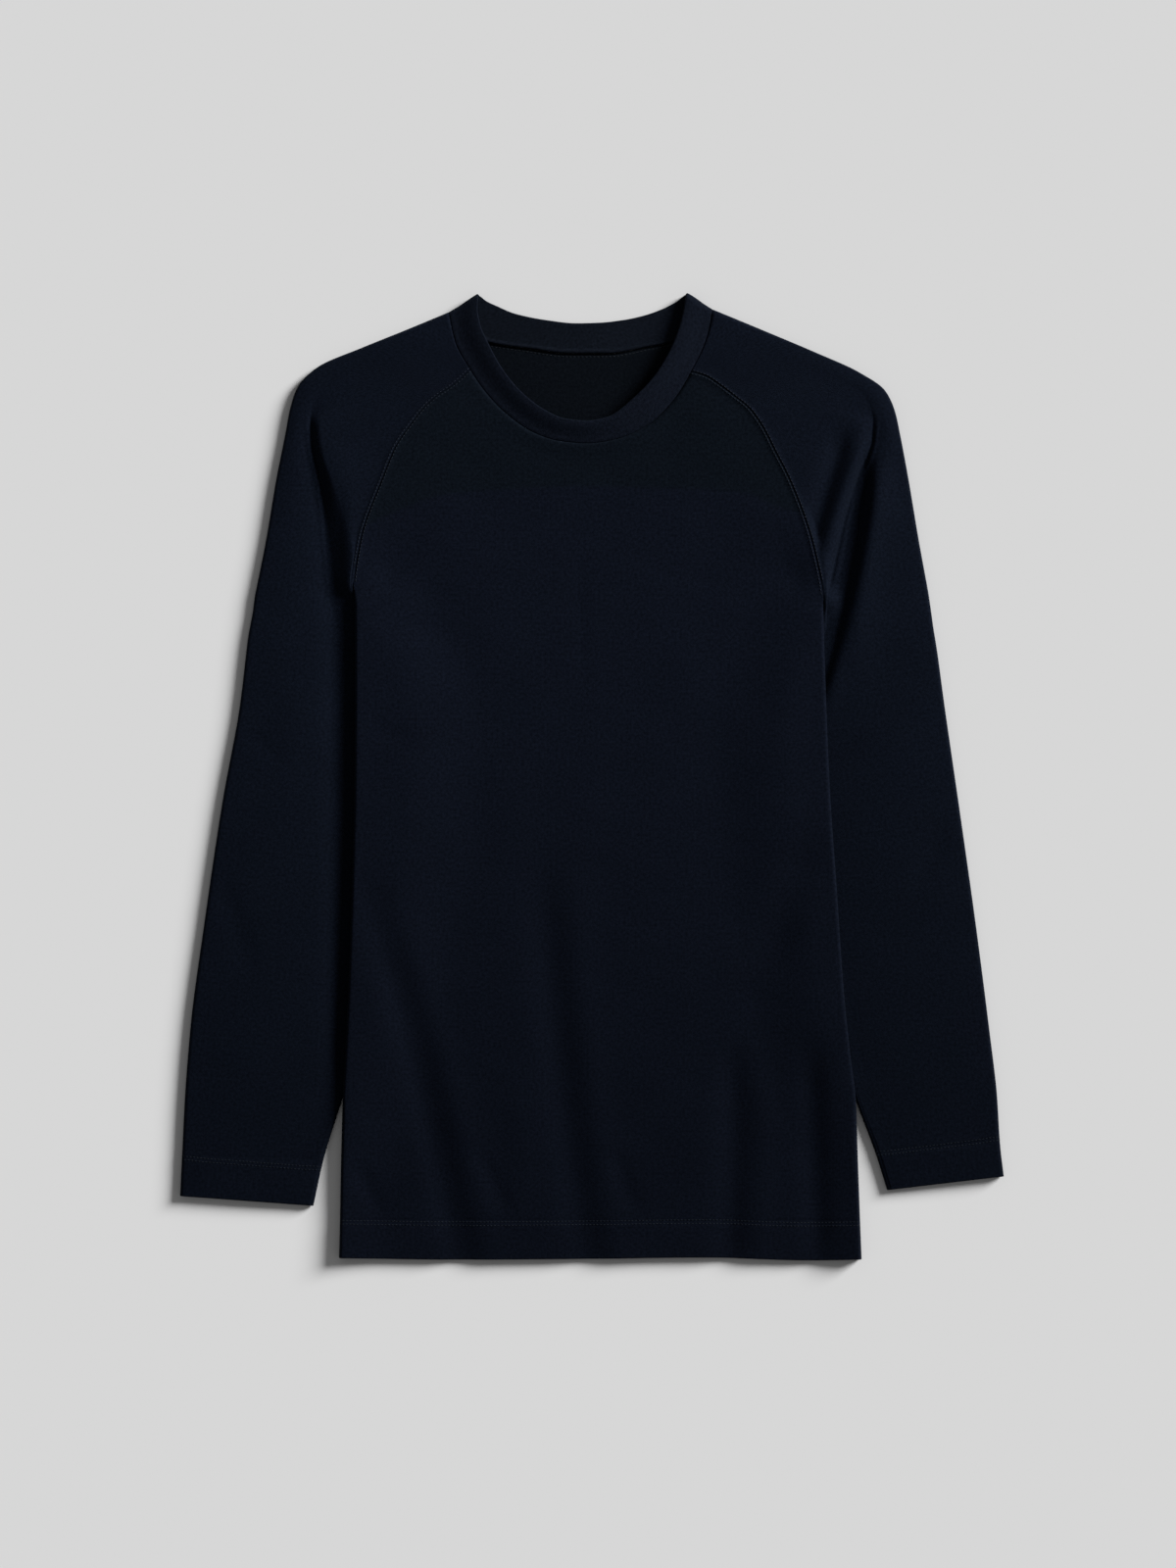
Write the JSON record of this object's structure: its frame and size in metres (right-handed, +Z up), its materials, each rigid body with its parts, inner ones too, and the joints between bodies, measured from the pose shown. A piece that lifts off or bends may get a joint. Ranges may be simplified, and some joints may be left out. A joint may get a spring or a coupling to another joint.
{
  "type": "thermal top",
  "caption": "Long-sleeved crew-neck thermal top with raglan sleeves, laid flat on its back with the sleeves tucked beneath its sides",
  "frame": {"origin": "middle of the rectangle that the laid-out garment covers, on the surface it lies on", "axes": "+Z up from the surface, +Y from the hem to the collar, +X to the right as seen from above, which is the wearer's left"},
  "size_m": [0.6086, 0.7136, 0.0104],
  "materials": {
    "body_knit": "matte fine-gauge thermal knit in very dark navy, brushed inside",
    "sleeve_knit": "the same very dark navy thermal knit, running down the arm",
    "band_knit": "doubled fine rib in very dark navy"
  },
  "bodies": {
    "root": {"front": "body_knit", "back": "body_knit", "sleeve_left": "sleeve_knit", "sleeve_right": "sleeve_knit", "neckband": "band_knit"}
  },
  "joints": []
}
